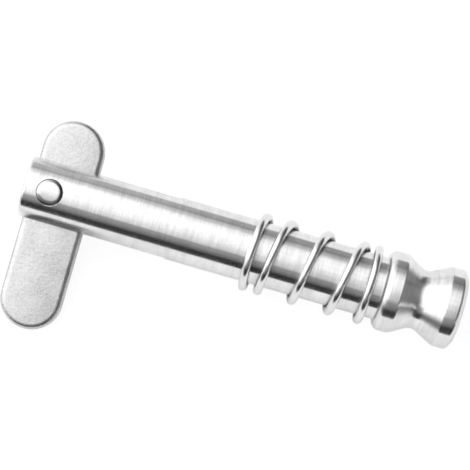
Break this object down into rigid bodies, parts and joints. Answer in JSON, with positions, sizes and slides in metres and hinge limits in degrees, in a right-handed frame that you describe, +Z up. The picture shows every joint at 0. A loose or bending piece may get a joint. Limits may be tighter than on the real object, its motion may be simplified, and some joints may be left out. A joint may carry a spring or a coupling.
{
  "type": "quick release pin",
  "caption": "Sprung quick release pin with a swinging drop cam that locks across its slotted nose, and a waisted head to pull it by.",
  "frame": {"origin": "centre of the flat end of the head", "axes": "+X along the pin from its nose to its head, +Z up as it lies, with the cam's long side drooping towards -Y"},
  "size_m": [0.0448, 0.0207, 0.0082],
  "materials": {
    "polished_steel": "polished stainless steel with fine turning lines round the pin",
    "tumbled_steel": "satin stainless steel, tumbled, with rounded edges and faint scratches",
    "rivet_steel": "stainless steel polished off level with the shank",
    "spring_steel": "bright drawn stainless steel wire"
  },
  "bodies": {
    "pin": {"pin_body": "polished_steel", "rivet": "rivet_steel"},
    "cam": {"drop_cam": "tumbled_steel"},
    "coil": {"spring": "spring_steel"}
  },
  "joints": [
    {"name": "cam_swing", "type": "hinge", "parent": "pin", "child": "cam", "pos_m": [-0.04211, 0, 0], "axis": [0, 0.2542, -0.9672], "range_deg": [-59.5, 249]},
    {"name": "spring_press", "type": "slide", "parent": "pin", "child": "coil", "axis": [1, 0, 0], "range_m": [0, 0.0083], "stiffness_N_per_m": 3000, "deforming": ["spring"]}
  ]
}
